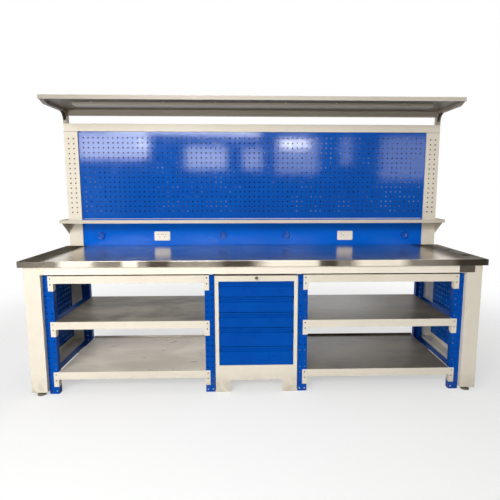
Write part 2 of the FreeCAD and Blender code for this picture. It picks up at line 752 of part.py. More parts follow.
def make_drawer_front(number, height, bottom):
    """Folded sheet whose top is a full-width pull: a lip with a finger channel under it."""
    front = body(f"drawer_front_{number}_body", 0, cabinet_front, bottom)
    wall, deep = size.thin_sheet, size.pull_depth
    start = height - size.pull_height
    rise = deep / 2
    back_shift = 1.118 * wall
    profile = sketch(front, "YZ")
    outline(profile, [
        (0, 0), (0, start), (deep, start + rise), (deep, height - wall), (wall, height - wall),
        (wall, height - size.pull_lip), (0, height - size.pull_lip), (0, height),
        (deep + wall, height), (deep + wall, start + rise + wall / 2 - back_shift),
        (wall, start + wall / 2 - back_shift), (wall, wall), (size.front_depth, wall),
        (size.front_depth, 0)])
    pad(front, profile, size.drawer_width, both_ways=True)
    cheek = sketch(front, "YZ")
    rectangle(cheek, 0, 0, size.front_depth, start)
    cheek.setExpression("AttachmentOffset.Base.z", (size.drawer_width / 2 - wall).formula)
    side = pad(front, cheek, wall)
    mirror(front, side, "YZ")
    notch = sketch(front, "XZ")
    half = size.drawer_width / 2
    notch_width = 5
    rectangle(notch, half - notch_width, start, half, height - size.pull_lip)
    opened = pocket(front, notch, size.front_depth)
    mirror(front, opened, "YZ")
    piece(front, f"drawer_front_{number}")


def make_drawer_box(number, height, bottom):
    """Open box with a runner on each side."""
    half, wall = size.box_half_width, size.thin_sheet
    near = cabinet_front + size.front_depth
    far = near + size.box_depth
    under, above = 12, 30
    box = pan(
        f"box_{number}", (-half, near, bottom + under), (half, far, bottom + height - above), wall, "+z")
    middle = bottom + size.slide_level
    runner_near, runner_far = near + 6, far - 10
    runners = [
        mirrored_block(
            f"runner_{number}_{side_name}", side, (half, runner_near, middle - size.runner_height / 2),
            (half + size.runner_width, runner_far, middle + size.runner_height / 2))
        for side_name, side in SIDES]
    piece(fuse(f"box_{number}", box, *runners), f"drawer_box_{number}")


# Lock: a barrel in the lock rail, a key that turns its plug, and a bar that the cam lifts

def make_lock():
    front, level = cabinet_front, size.lock_level
    bezel_rise, barrel_end, bore_play = 2.5, 7, 0.1
    bezel_front = front - bezel_rise
    barrel_length = bezel_rise + barrel_end
    bezel = rod("bezel", size.lock_bezel, (0, bezel_front, level), bezel_rise)
    barrel = rod("barrel", size.barrel_radius, (0, bezel_front, level), barrel_length)
    bore = rod("bore", size.plug_radius + bore_play, (0, bezel_front, level), barrel_length)
    piece(cut("lock_body", fuse("lock_shell", bezel, barrel), bore), "lock_body")

    plug_rise, cam_gap, cam_radius, cam_thickness = 1, 0.3, 9, 2
    plug_front = bezel_front - plug_rise
    cam_front = front + barrel_end + cam_gap
    plug = rod("plug", size.plug_radius, (0, plug_front, level), cam_front - plug_front)
    cam = rod("cam", cam_radius, (0, cam_front, level), cam_thickness)
    pin_radius, pin_length = 2, 5
    pin_x = size.cam_reach * math.sqrt(0.5)
    pin_z = level - pin_x
    pin = rod("cam_pin", pin_radius, (pin_x, cam_front + cam_thickness, pin_z), pin_length)

    key_thickness, blade_height, blade_length = 2.2, 8, 12
    blade = block(
        "key_blade", (-key_thickness / 2, plug_front - blade_length, level - blade_height / 2),
        (key_thickness / 2, plug_front, level + blade_height / 2))
    across = FreeCAD.Rotation(FreeCAD.Vector(0, 1, 0), 90)
    bow_radius, ring_radius, ring_offset = 11, 3, 5
    bow_centre = plug_front - blade_length - bow_radius + ring_radius
    bow = rod("key_bow", bow_radius, (-key_thickness / 2, bow_centre, level), key_thickness, across)
    ring_hole = rod(
        "key_ring_hole", ring_radius, (-key_thickness / 2, bow_centre - ring_offset, level),
        key_thickness, across)
    piece(fuse("key", plug, cam, pin, blade, cut("key_bow", bow, ring_hole)), "lock_key")

    near = front + size.bar_recess
    far = near + size.bar_thickness
    bar_left = size.sheet_steel + size.bar_clearance - size.cabinet_width / 2
    bar_right = bar_left + size.bar_width
    bar_bottom, arm_end = 200, 14
    arm_bottom, arm_top = level - 13, level + 3
    upright = block("bar_upright", (bar_left, near, bar_bottom), (bar_right, far, arm_top))
    arm = block("bar_arm", (bar_left, near, arm_bottom), (arm_end, far, arm_top))
    tab_reach, tab_height = 2, 10
    tabs = []
    for number, (height, bottom) in enumerate(drawer_bottoms(), start=1):
        tab_bottom = bottom + height / 2
        tabs.append(block(
            f"bar_tab_{number}", (bar_right, near, tab_bottom),
            (bar_right + tab_reach, far, tab_bottom + tab_height)))
    slack = pin_radius + 0.7
    slot = block(
        "cam_slot", (pin_x - slack, near, pin_z - slack),
        (size.cam_reach + slack, far, pin_z + slack))
    piece(cut("lock_bar", fuse("lock_bar", upright, arm, *tabs), slot), "lock_bar")


# Rear structure: two perforated posts, the rail, the pegboard and the socket panel

def make_post(side_name, side):
    centre = side * (leg_outer - size.post_width / 2)
    post = body(f"post_{side_name}_body", centre, bench_back, size.post_bottom)
    half, depth, wall = size.post_width / 2, size.post_depth, size.sheet_steel
    section = sketch(post, "XY")
    rectangle(section, -half, 0, half, depth)
    rectangle(section, wall - half, wall, half - wall, depth - wall)
    pad(post, section, size.post_top - size.post_bottom)
    holes = sketch(post, "XZ")
    first = size.post_first - size.post_bottom
    reach, hole_count = size.post_hole / 2, 16
    for x in (-size.post_row, size.post_row):
        rectangle(holes, x - reach, first - reach, x + reach, first + reach)
    punched = pocket(post, holes, 3 * wall, both_ways=True)
    repeat(post, punched, "Z", size.hole_pitch, hole_count)
    piece(post, f"post_{side_name}")


def make_rear_structure():
    for side_name, side in SIDES:
        make_post(side_name, side)
    rail = pan(
        "top_rail", (-leg_outer, bench_back, size.post_top),
        (leg_outer, bench_back + size.post_depth, size.post_top + size.top_rail_height),
        size.sheet_steel, "+y")
    piece(rail, "top_rail")
    make_pegboard()
    half = leg_inner - size.board_gap
    front = bench_back + size.board_recess
    panel = pan(
        "socket_panel", (-half, front, size.socket_panel_bottom),
        (half, front + size.board_flange, size.socket_panel_top), size.thin_sheet, "+y")
    knockout_radius = size.cover_radius - 7
    knockouts = [
        rod(f"knockout_{number}", knockout_radius, (x, front, size.cover_level), 2 * size.thin_sheet)
        for number, x in enumerate(COVER_PLACES)]
    piece(cut("socket_panel_plate", panel, *knockouts), "socket_panel")


# Fittings of the socket panel: two socket plates and four round cover caps

SOCKET_PLACES = (-740, 737)
COVER_PLACES = (-1225, -254, 254, 1225)


def make_sockets():
    """Rounded plates with pin slots; the right one is a single socket turned on its side."""
    front = bench_back + size.board_recess
    live, earth, narrow = 9, 10, 4
    pair_slots = []
    for centre in (-20, 19):
        pair_slots += [
            (centre - 11, 13, live, narrow), (centre + 11, 13, live, narrow),
            (centre, -6, narrow, earth)]
    single_slots = [(-31, 13, narrow, live), (-31, -8, narrow, live), (-13, 3, earth, narrow)]
    corner_radius, rim_radius, slot_depth = 8, 3, 6
    plates = []
    for (name, _), x, slots in zip(SIDES, SOCKET_PLACES, (pair_slots, single_slots)):
        plate = body(f"socket_{name}_body", x, front, size.socket_level)
        half_width, half_height = size.socket_width / 2, size.socket_height / 2
        face = sketch(plate, "XZ")
        rectangle(face, -half_width, -half_height, half_width, half_height)
        slab = pad(plate, face, size.socket_depth)
        doc.recompute()
        depth = size.socket_depth.number
        corners = edges_where(slab.Shape, lambda middle, edge: abs(middle.y + depth / 2) < touching)
        rounded = round_edges(plate, slab, corners, corner_radius)
        doc.recompute()
        rim = edges_where(rounded.Shape, lambda middle, edge: middle.y < touching - depth)
        round_edges(plate, rounded, rim, rim_radius)
        openings = sketch(plate, "XZ")
        for slot_x, slot_z, width, height in slots:
            rectangle(
                openings, slot_x - width / 2, slot_z - height / 2,
                slot_x + width / 2, slot_z + height / 2)
        openings.setExpression("AttachmentOffset.Base.z", (size.socket_depth - slot_depth).formula)
        pocket(plate, openings, 2 * slot_depth, reverse=True)
        plates.append(plate)
    piece(group("socket", *plates), "socket_outlets")


def make_covers():
    """Dished caps whose neck fills the round knockouts of the socket panel."""
    front = bench_back + size.board_recess
    caps = []
    for number, x in enumerate(COVER_PLACES, start=1):
        cap = body(f"cover_{number}_body", x, front, size.cover_level)
        half_section = sketch(cap, "XY")
        rim, wall = size.cover_radius, 2
        neck = rim - 7.2
        dish, crown, edge, neck_end = -8, -13, -5, 12
        outline(half_section, [
            (0, dish), (neck / 2, dish), (rim - 11, crown + 1), (rim - 5, crown), (rim - 1, dish - 1),
            (rim, edge), (rim, 0), (neck, 0), (neck, neck_end), (neck - wall, neck_end),
            (neck - wall, dish + 2 * wall), (0, dish + 2 * wall)])
        turned = cap.newObject("PartDesign::Revolution", f"cover_{number}_turned")
        turned.Profile = half_section
        turned.ReferenceAxis = (half_section, ["V_Axis"])
        turned.Angle = 360
        caps.append(cap)
    piece(group("cover", *caps), "round_covers")


# Mid shelf: a folded tray along the front of the posts, on two end brackets

def make_mid_shelf():
    front, wall = size.bench_front + size.shelf_front, size.thin_sheet
    half = leg_outer + size.shelf_overhang
    floor = size.shelf_floor
    lip = floor + size.shelf_lip
    tray = cut(
        "shelf_tray_low_back",
        pan("shelf_tray", (-half, front, floor), (half, bench_back, lip), wall, "+z"),
        block("shelf_back_gap", (wall - half, bench_back - wall, floor + size.shelf_back),
              (half - wall, bench_back, lip)))
    brackets = []
    toe = 36 - (size.bench_depth - size.shelf_front)
    heel, top = size.post_depth * 2 / 3, floor + wall
    for side_name, side in SIDES:
        bracket = body(f"shelf_bracket_{side_name}", 0, bench_back)
        plate = sketch(bracket, "YZ")
        outline(plate, [
            (toe, top), (heel, top), (heel, size.bracket_low), (0, size.bracket_low)])
        inner = leg_outer if side > 0 else -leg_outer - size.shelf_overhang
        plate.setExpression("AttachmentOffset.Base.z", inner.formula)
        pad(bracket, plate, size.shelf_overhang)
        brackets.append(bracket)
    piece(fuse("mid_shelf", tray, *brackets), "mid_shelf")


# Canopy: a tray on two curved arms that stand on the top rail, with a lamp under it

def make_arm(side_name, side):
    outer, inner = leg_outer - 1, leg_outer - 1 - size.arm_width
    centre = side * (outer + inner) / 2
    arm = body(f"arm_{side_name}", centre, bench_back)
    foot = size.post_top + size.top_rail_height
    column_front = -2
    column_back = column_front + size.arm_depth
    overhang = size.bench_depth - size.canopy_front
    tip, heel, tip_wall = 17 - overhang, 70 - overhang, 12
    top, under = size.canopy_bottom, size.canopy_bottom - size.arm_height
    profile = sketch(arm, "YZ")
    outline(profile, [
        (column_front, foot), (column_back, foot), (column_back, top), (tip, top), (heel, under),
        (column_front, under)])
    solid = pad(arm, profile, size.arm_width, both_ways=True)
    doc.recompute()

    def at_bend(middle, edge):
        return abs(middle.y - column_front) < touching and abs(middle.z - under.number) < touching

    inner_bend = edges_where(solid.Shape, at_bend)
    rounded = round_edges(arm, solid, inner_bend, size.arm_round)
    wall = size.sheet_steel
    hollow = sketch(arm, "YZ")
    outline(hollow, [
        (column_front + wall, foot), (column_back - wall, foot), (column_back - wall, top),
        (tip + tip_wall, top), (heel, under + wall), (-size.arm_round, under + wall),
        (column_front + wall, under - size.arm_round)])
    pocket(arm, hollow, size.arm_width - 2 * wall, both_ways=True)
    return arm


def make_canopy():
    front, wall = size.bench_front + size.canopy_front, size.thin_sheet
    back = bench_back + size.post_depth
    bottom = size.canopy_bottom
    tray = pan(
        "canopy", (-leg_outer, front, bottom), (leg_outer, back, bottom + size.canopy_lip), wall, "+z")
    piece(tray, "canopy_tray")
    arms = [make_arm(side_name, side) for side_name, side in SIDES]
    piece(group("arm", *arms), "canopy_arms")
    half = leg_outer - 1 - size.arm_width
    beam = pan(
        "canopy_beam", (-half, bench_back, bottom - size.rear_beam_height),
        (half, bench_back + size.rear_beam_depth, bottom), size.sheet_steel, "+y")
    piece(beam, "canopy_rear_beam")
    lamp_front = size.bench_front + size.lamp_front
    lamp_back = lamp_front + size.lamp_depth
    half = size.lamp_length / 2
    low = bottom - size.lamp_height
    housing = pan("lamp", (-half, lamp_front, low), (half, lamp_back, bottom), wall, "-z")
    piece(housing, "lamp_housing")
    diffuser_height = 12
    diffuser = pan(
        "diffuser", (wall - half, lamp_front + wall, low),
        (half - wall, lamp_back - wall, low + diffuser_height), wall, "+z")
    piece(diffuser, "lamp_diffuser")


make_worktop()
make_frame()
make_end_panels()
for side_name, side in SIDES:
    make_rack(side_name, side)
make_cabinet_shell()
make_slides()
for number, (height, bottom) in enumerate(drawer_bottoms(), start=1):
    make_drawer_front(number, height, bottom)
    make_drawer_box(number, height, bottom)
make_lock()
make_rear_structure()
make_sockets()
make_covers()
make_mid_shelf()
make_canopy()
doc.recompute()

broken = [thing.Label for thing in doc.Objects if {"Invalid", "Error"} & set(thing.State)]
empty = [
    label for label, thing in nodes.items()
    if thing.Shape.isNull() or not thing.Shape.isValid() or not thing.Shape.Solids]
if broken or empty:
    raise SystemExit(f"not built: {broken}, no valid solid: {empty}")

os.makedirs("parts", exist_ok=True)
for label, thing in nodes.items():
    thing.Shape.exportStep(f"parts/{label}.step")
whole = Part.makeCompound([thing.Shape for thing in nodes.values()]).BoundBox
print(len(nodes), "nodes", whole)
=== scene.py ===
import math

import bmesh
import bpy
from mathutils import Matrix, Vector


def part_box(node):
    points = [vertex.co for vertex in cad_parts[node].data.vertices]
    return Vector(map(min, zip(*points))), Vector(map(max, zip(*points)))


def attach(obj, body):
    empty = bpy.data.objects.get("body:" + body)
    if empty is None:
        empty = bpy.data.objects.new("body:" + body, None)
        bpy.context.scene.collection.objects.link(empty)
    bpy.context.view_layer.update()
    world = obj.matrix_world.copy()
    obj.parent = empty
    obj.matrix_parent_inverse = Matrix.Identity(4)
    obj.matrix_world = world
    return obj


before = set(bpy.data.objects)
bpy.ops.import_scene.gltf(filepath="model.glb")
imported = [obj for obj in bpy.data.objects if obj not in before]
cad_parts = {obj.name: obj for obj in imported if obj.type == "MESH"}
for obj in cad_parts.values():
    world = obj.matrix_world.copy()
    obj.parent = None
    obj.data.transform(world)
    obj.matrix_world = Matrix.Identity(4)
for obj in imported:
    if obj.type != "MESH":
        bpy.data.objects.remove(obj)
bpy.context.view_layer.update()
scene = bpy.context.scene
scene.view_settings.view_transform = "Standard"


# Camera. Held at standing height 2.65 m in front of the bench, turned a little to the right and
# tipped down. The lens centre lies slightly off the middle of the square picture.
picture_px = 500
focal_px = 423.35
lens_centre_px = (259.71, 245.66)
tipped_down, turned_right = math.radians(7.61), math.radians(1.70)
lens = bpy.data.cameras.new("camera")
lens.sensor_width = 36.0
lens.lens = focal_px / picture_px * lens.sensor_width
lens.shift_x = (picture_px / 2 - lens_centre_px[0]) / picture_px
lens.shift_y = (lens_centre_px[1] - picture_px / 2) / picture_px
camera = bpy.data.objects.new("camera", lens)
camera.location = (-0.0582, -3.0552, 1.3485)
camera.rotation_euler = (math.pi / 2 - tipped_down, 0.0, -turned_right)
scene.collection.objects.link(camera)
scene.camera = camera


# Studio. A pale floor and a dim, even sky, both plain white where the camera or a reflection
# looks past the bench. Soft boxes light it, and a row of windows shows only in its gloss.
class Wire:
    """A shader socket as a number: arithmetic on it adds Math nodes, node() adds any other."""

    def __init__(self, tree, socket=None):
        self.tree = tree
        self.socket = socket

    def node(self, kind, settings=None, sockets=None, output=0):
        made = self.tree.nodes.new("ShaderNode" + kind)
        for name, value in (settings or {}).items():
            setattr(made, name, value)
        for name, value in (sockets or {}).items():
            if isinstance(value, Wire):
                self.tree.links.new(value.socket, made.inputs[name])
            else:
                made.inputs[name].default_value = value
        return Wire(self.tree, made.outputs[output] if made.outputs else None)

    def math(self, operation, first, second=0.0, clamp=False):
        settings = {"operation": operation, "use_clamp": clamp}
        return self.node("Math", settings, {0: first, 1: second})

    def __add__(self, other):
        return self.math("ADD", self, other)

    __radd__ = __add__

    def __sub__(self, other):
        return self.math("SUBTRACT", self, other)

    def __rsub__(self, other):
        return self.math("SUBTRACT", other, self)

    def __mul__(self, other):
        return self.math("MULTIPLY", self, other)

    __rmul__ = __mul__

    def __abs__(self):
        return self.math("ABSOLUTE", self)

    def larger(self, other):
        return self.math("MAXIMUM", self, other)

    def smaller(self, other):
        return self.math("MINIMUM", self, other)

    def fade(self, start, end):
        """0 at start and 1 at end, smooth between. start may be the larger of the two."""
        low, high = min(start, end), max(start, end)
        ends = {3: 0.0, 4: 1.0} if start < end else {3: 1.0, 4: 0.0}
        return self.node("MapRange", {"interpolation_type": "SMOOTHSTEP"},
                         {0: self, 1: low, 2: high, **ends})

    def mix(self, low, high):
        """Colour low where this is 0 and colour high where it is 1."""
        return self.node("Mix", {"data_type": "RGBA"}, {0: self, 6: low, 7: high}, output=2)

    def either(self, first, second):
        """Shader first where this is 0 and shader second where it is 1."""
        return self.node("MixShader", None, {0: self, 1: first, 2: second})

    def seen(self, backdrop):
        """1 for rays from the camera, through glass, and from reflections of the backdrop."""
        direct, mirrored, through = [
            self.node("LightPath", output=name)
            for name in ("Is Camera Ray", "Is Glossy Ray", "Is Transmission Ray")]
        return self.math("ADD", direct + through, mirrored * backdrop, clamp=True)


def empty_nodes(owner):
    """The shader nodes of a material or world, emptied, to build on."""
    owner.use_nodes = True
    owner.node_tree.nodes.clear()
    return Wire(owner.node_tree)


def axis(wires, place, number):
    return wires.node("SeparateXYZ", None, {"Vector": place}, output=number)


def mesh_object(name, shape, material):
    """Puts a finished bmesh into the scene."""
    mesh = bpy.data.meshes.new(name)
    shape.to_mesh(mesh)
    shape.free()
    mesh.materials.append(material)
    made = bpy.data.objects.new(name, mesh)
    scene.collection.objects.link(made)
    return made


sky_level = 0.24
room_level = 0.12
sky_tint = (1.0, 0.985, 0.96, 1.0)
paper_white = (1.0, 1.0, 1.0, 1.0)
horizon = 0.05
sky = bpy.data.worlds.new("sky")
wires = empty_nodes(sky)
direction = wires.node("TexCoord", output="Generated")
ahead = axis(wires, direction, 1).fade(-horizon, horizon)
mirrored = wires.node("LightPath", output="Is Glossy Ray")
level = sky_level + mirrored * (room_level - sky_level)
dim = wires.node("Background", None, {"Color": sky_tint, "Strength": level})
plain = wires.node("Background", None, {"Color": paper_white, "Strength": 1.0})
wires.node("OutputWorld", None, {"Surface": wires.seen(ahead).either(dim, plain)})
scene.world = sky

floor_half = 30.0
floor_cells = 24
shadow_kept = 0.50
shadow_reach = (1.9, 4.2)
front_of_bench = (-2.0, -1.0)
dark_screed = (0.32, 0.315, 0.31, 1)
pale_floor = bpy.data.materials.new("pale_floor")
wires = empty_nodes(pale_floor)
place = wires.node("TexCoord", output="Object")
trowelled = wires.node("TexNoise", None, {"Vector": place, "Scale": 3.0, "Detail": 5.0})
screed = trowelled.mix((0.91, 0.907, 0.90, 1), (0.95, 0.948, 0.943, 1))
ahead = axis(wires, place, 1).fade(*front_of_bench)
seen = wires.seen(ahead)
screed = wires.seen(0.6 + 0.4 * ahead).mix(dark_screed, screed)
away = wires.node("VectorMath", {"operation": "LENGTH"}, {0: place}, output="Value")
near = wires.node("BsdfDiffuse", None, {"Color": screed})
far = wires.node("Emission", None, {"Color": paper_white, "Strength": 1.0})
lifted = (1 - shadow_kept) + shadow_kept * away.fade(*shadow_reach)
wires.node("OutputMaterial", None, {"Surface": (lifted * seen).either(near, far)})
shape = bmesh.new()
bmesh.ops.create_grid(shape, x_segments=floor_cells, y_segments=floor_cells, size=floor_half)
mesh_object("floor", shape, pale_floor)

watts_per_level = 4.0


def soft_box(name, centre, aim, width, height, level, diffuse=True, mirrored=True):
    """An area lamp aimed at a point, level times as bright as white paper."""
    lamp = bpy.data.lights.new(name, "AREA")
    lamp.shape = "RECTANGLE"
    lamp.size, lamp.size_y = width, height
    lamp.energy = watts_per_level * level * width * height
    stand = bpy.data.objects.new(name, lamp)
    stand.location = centre
    stand.rotation_mode = "QUATERNION"
    stand.rotation_quaternion = (Vector(aim) - Vector(centre)).to_track_quat("-Z", "Y")
    stand.visible_camera = False
    stand.visible_diffuse = diffuse
    stand.visible_glossy = mirrored
    scene.collection.objects.link(stand)


bench_middle = (0.0, 0.0, 1.0)
window_plane = -6.0
lamp_plane = -5.9
# Letter, plane, middle across and up, width, height and level.
windows = (
    ("a", window_plane, -3.06, 2.32, 1.56, 0.60, 9.0),
    ("b", window_plane, -0.98, 2.05, 0.91, 0.50, 6.5),
    ("c", window_plane, 0.07, 2.03, 0.43, 0.48, 5.0),
    ("d", window_plane, 1.07, 2.10, 0.97, 0.78, 3.2),
    ("e", window_plane, 2.20, 2.20, 0.26, 0.60, 2.2),
    ("f", window_plane, 3.67, 2.05, 1.34, 0.95, 2.2),
    ("g", lamp_plane, 1.01, 2.35, 0.62, 0.16, 22.0),
    ("h", lamp_plane, -2.35, 2.34, 0.14, 0.12, 22.0),
)
for letter, plane, across, up, width, height, level in windows:
    soft_box("window_" + letter, (across, plane, up), (across, 0.0, up),
             width, height, level, diffuse=False)
soft_box("front", (-1.2, -4.8, 3.0), bench_middle, 3.0, 1.2, 12.3)
soft_box("upper_left", (-2.4, -3.0, 3.2), bench_middle, 0.5, 0.5, 11.0)
soft_box("low_left", (-3.2, -4.4, 1.2), (0.4, 0.0, 0.6), 1.6, 1.0, 15.0, mirrored=False)
soft_box("overhead", (-0.4, 0.3, 4.2), bench_middle, 3.2, 2.0, 1.6)
soft_box("back_fill", (0.8, 4.6, 2.6), bench_middle, 3.0, 2.0, 2.6)


# Bench frame. Folded sheet legs, rails and aprons, bolted together, with a satin cream powder
# coat: slightly orange-peeled, darker towards the floor. The front apron's coat is paler: painted
# light.
def linear(red, green, blue):
    """A colour in screen numbers, 0 to 255, as the linear numbers that a shader takes."""
    def straight(value):
        value /= 255.0
        return value / 12.92 if value <= 0.04045 else ((value + 0.055) / 1.055) ** 2.4
    return (straight(red), straight(green), straight(blue), 1.0)


def finish(name, fixed, vary, overlay=None):
    """A material: fixed numbers and what vary(wires, place) returns. The optional last argument
    holds the same two for a second surface mixed over it, and the share that this takes."""
    made = bpy.data.materials.new(name)
    wires = empty_nodes(made)
    place = wires.node("TexCoord", output="Object")
    shader = wires.node("BsdfPrincipled", None, {**fixed, **vary(wires, place)})
    if overlay:
        overlay_fixed, overlay_vary, overlay_share = overlay
        below = wires.node("BsdfPrincipled", None, {**overlay_fixed, **overlay_vary(wires, place)})
        shader = overlay_share(wires, place).either(shader, below)
    wires.node("OutputMaterial", None, {"Surface": shader})
    return made


def gloss(level):
    return {"Specular IOR Level": level}


def noise(wires, place, scale, detail=2.0, stretch=(1.0, 1.0, 1.0), twist=0.0):
    """Noise of so many cells to the metre, which stretch makes longer along an axis."""
    spread = wires.node("VectorMath", {"operation": "MULTIPLY"}, {0: place, 1: stretch})
    return wires.node("TexNoise", None, {"Vector": spread, "Scale": scale, "Detail": detail,
                                         "Distortion": twist})


def bump(wires, height, strength, depth):
    return wires.node("Bump", None, {"Height": height, "Strength": strength, "Distance": depth})


def coat_nodes(material, *names):
    """Puts a finish on CAD nodes, in their material slots."""
    for name in names:
        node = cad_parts[name]
        if not node.material_slots:
            node.data.materials.append(material)
        for slot in node.material_slots:
            slot.material = material


def powder_coat(pale, dark, rough, darkening):
    """What varies on a powder coat: clouds between two colours, peel, rubbed spots, and darker
    spots and patches towards the floor.
    """
    def vary(wires, place):
        clouds = noise(wires, place, 1.7, 3.0)
        grain = noise(wires, place, 260.0, 1.0)
        rubbed = noise(wires, place, 11.0, 6.0, (1.0, 1.0, 1.0), 0.7)
        tone = (0.55 * clouds + 0.30 * rubbed + 0.15 * grain).fade(0.28, 0.70)
        colour = tone.mix(linear(*dark), linear(*pale))
        # Darker towards the floor, in rubbed patches, and in a few small spots.
        foot = axis(wires, place, 2).fade(0.16, 0.02) * rubbed.fade(0.30, 0.75) * darkening
        spots = noise(wires, place, 34.0, 3.0).fade(0.70, 0.80) * (0.25 * darkening)
        colour = foot.larger(spots).mix(colour, linear(120, 106, 84))
        return {"Base Color": colour, "Roughness": rough * (0.65 + 0.7 * rubbed),
                "Normal": bump(wires, grain, 0.12, 0.0003)}
    return vary


sides = ("left", "right")
cream_rough, cream_darkening = 0.42, 0.45
cream_gloss = gloss(0.18)
cream_coat = powder_coat((231, 223, 207), (221, 212, 195), cream_rough, cream_darkening)
cream = finish("cream_coat", cream_gloss, cream_coat)
coat_nodes(cream, "rear_apron", "end_rails")
for side in sides:
    coat_nodes(cream, f"leg_front_{side}", f"leg_rear_{side}")
# Painted light: a paler copy of the cream coat on the front apron, to lift the shade under the
# worktop's overhang.
painted_lit_apron_coat = powder_coat((246, 238, 223), (237, 228, 212), cream_rough, cream_darkening)
coat_nodes(finish("painted_lit_apron_coat", cream_gloss, painted_lit_apron_coat), "front_apron")


# Feet. Levelling pads of dark rubber on a steel stem, dusty from the floor, screwed into the
# nut plates of the legs.
def dusty_rubber(wires, place):
    dust = noise(wires, place, 60.0, 5.0)
    low = axis(wires, place, 2).fade(0.03, 0.0)
    return {"Base Color": (dust * (0.4 + 0.6 * low)).mix(linear(84, 78, 70), linear(146, 136, 119)),
            "Roughness": 0.6 + 0.3 * dust, "Normal": bump(wires, dust, 0.3, 0.0005)}


coat_nodes(finish("dusty_rubber", gloss(0.3), dusty_rubber), "levelling_feet")


# End panels. Sheet steel, punched before a satin blue powder coat, set between the legs. The
# right one has a paler copy of the coat: painted light, where it faces the lamps.
satin_rough, satin_darkening = 0.30, 0.15
satin_gloss = gloss(0.06)
satin_coat = powder_coat((0, 79, 172), (0, 68, 157), satin_rough, satin_darkening)
satin_blue = finish("satin_blue_coat", satin_gloss, satin_coat)
coat_nodes(satin_blue, "end_panel_left")
lit_coat = powder_coat((0, 96, 198), (0, 86, 184), satin_rough, satin_darkening)
coat_nodes(finish("lit_blue_coat", satin_gloss, lit_coat), "end_panel_right")


# Dusk behind the holed sheets: painted shade. Their holes show a dim space behind the bench, not
# the
# white of the studio: glowing cards of dark and grey blotches behind the sheets, seen from their
# front by the camera alone.
card_gap = 0.0015
dusk = bpy.data.materials.new("dusk")
wires = empty_nodes(dusk)
place = wires.node("TexCoord", output="Object")
dusk_blotches = 0.55 * noise(wires, place, 1.6, 2.0) + 0.45 * noise(wires, place, 17.0, 1.0)
# Painted shade: dark and grey blotches that glow, standing for a dim space behind the sheets.
painted_dusk = dusk_blotches.fade(0.49, 0.60).mix(linear(14, 20, 34), linear(104, 108, 118))
painted_dusk_glow = wires.node("Emission", None, {"Color": painted_dusk, "Strength": 1.0})
clear = wires.node("BsdfTransparent")
front = 1.0 - wires.node("NewGeometry", output="Backfacing")
shown = front * wires.node("LightPath", output="Is Camera Ray")
wires.node("OutputMaterial", None, {"Surface": shown.either(clear, painted_dusk_glow)})


def dusk_card(name, corner, across, up):
    """A sheet from a corner along two edges, in the backdrop, seen where across x up points."""
    corner, across, up = Vector(corner), Vector(across), Vector(up)
    shape = bmesh.new()
    shape.faces.new([shape.verts.new(point) for point in (
        corner, corner + across, corner + across + up, corner + up)])
    mesh_object(name, shape, dusk)


for side in sides:
    low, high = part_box("end_panel_" + side)
    depth = high.y - low.y
    if side == "left":
        corner, along = (low.x - card_gap, low.y, low.z), (0, depth, 0)
    else:
        corner, along = (high.x + card_gap, high.y, low.z), (0, -depth, 0)
    dusk_card("dusk_end_panel_" + side, corner, along, (0, 0, high.z - low.z))


# Racks. Perforated C uprights with a satin blue coat, and cream step beams that hook on to them
# with bolted lugs. The holes of the uprights show dusk cards in their own channel: painted shade.
card_margin = 0.004
flange_gap = 0.002
for side in sides:
    coat_nodes(cream, f"{side}_rack_rear_beams",
               *[f"{side}_rack_beam_{level}" for level in ("top", "mid", "low")])
    coat_nodes(satin_blue, f"{side}_rack_back_frame")
    rear_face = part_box(f"{side}_rack_back_frame")[1].y
    for end in ("outer", "inner"):
        upright = f"{side}_rack_upright_{end}"
        coat_nodes(satin_blue, upright)
        low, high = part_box(upright)
        width, height = high.x - low.x, high.z - low.z
        for row, depth in (("front", high.y - flange_gap), ("rear", rear_face + card_gap)):
            dusk_card(f"dusk_{side}_{end}_{row}",
                      (low.x + card_margin, depth, low.z + card_margin),
                      (width - 2 * card_margin, 0, 0), (0, 0, height - 2 * card_margin))


# Shelves of the racks. Sheet trays that lie on the ledges of the beams, with a grey-beige coat,
# scraped by boxes that were pushed in. Each has its own tones, painted light and shade; the left
# low one is palest.
def scraped_tray(pale, dark, overlay):
    """What varies on a shelf tray: broad clouds between its two tones of painted light and shade,
    drag marks of that share, fine grain.
    """
    def vary(wires, place):
        clouds = noise(wires, place, 1.9, 3.0, (1.0, 1.6, 1.0), 0.6)
        streaks = noise(wires, place, 16.0, 5.0, (0.35, 1.0, 1.0), 1.2)
        grain = noise(wires, place, 260.0, 1.0)
        colour = (0.8 * clouds + 0.2 * streaks).fade(0.34, 0.64).mix(linear(*dark), linear(*pale))
        scrape = streaks.fade(0.66, 0.72)
        colour = (overlay * scrape).mix(colour, linear(104, 96, 84))
        return {"Base Color": colour, "Roughness": 0.34 + 0.15 * clouds,
                "Normal": bump(wires, 0.3 * grain + scrape, 0.15, 0.0004)}
    return vary


# Tray, its pale and dark tones (painted light and shade), share of drag marks and gloss.
tray_painted_tones = (
    ("left_shelf_top", (190, 182, 168), (150, 142, 130), 0.3, 0.15),
    ("left_shelf_mid", (164, 156, 143), (98, 92, 83), 0.6, 0.15),
    ("left_shelf_low", (240, 232, 218), (206, 198, 184), 0.7, 0.40),
    ("right_shelf_top", (150, 142, 129), (112, 106, 96), 0.3, 0.15),
    ("right_shelf_mid", (122, 115, 104), (80, 75, 67), 0.3, 0.15),
    ("right_shelf_low", (116, 109, 98), (78, 73, 65), 0.3, 0.15),
)
for name, pale, dark, overlay, shine in tray_painted_tones:
    coat_nodes(finish(name + "_coat", gloss(shine), scraped_tray(pale, dark, overlay)), name)


# Drawer cabinet. A cream shell of folded sheet with five blue drawer fronts. The boxes, slides
# and locking bar behind them are bare zinc-plated sheet: a faint crystal pattern, rubbed dull.
drawer_numbers = range(1, 6)


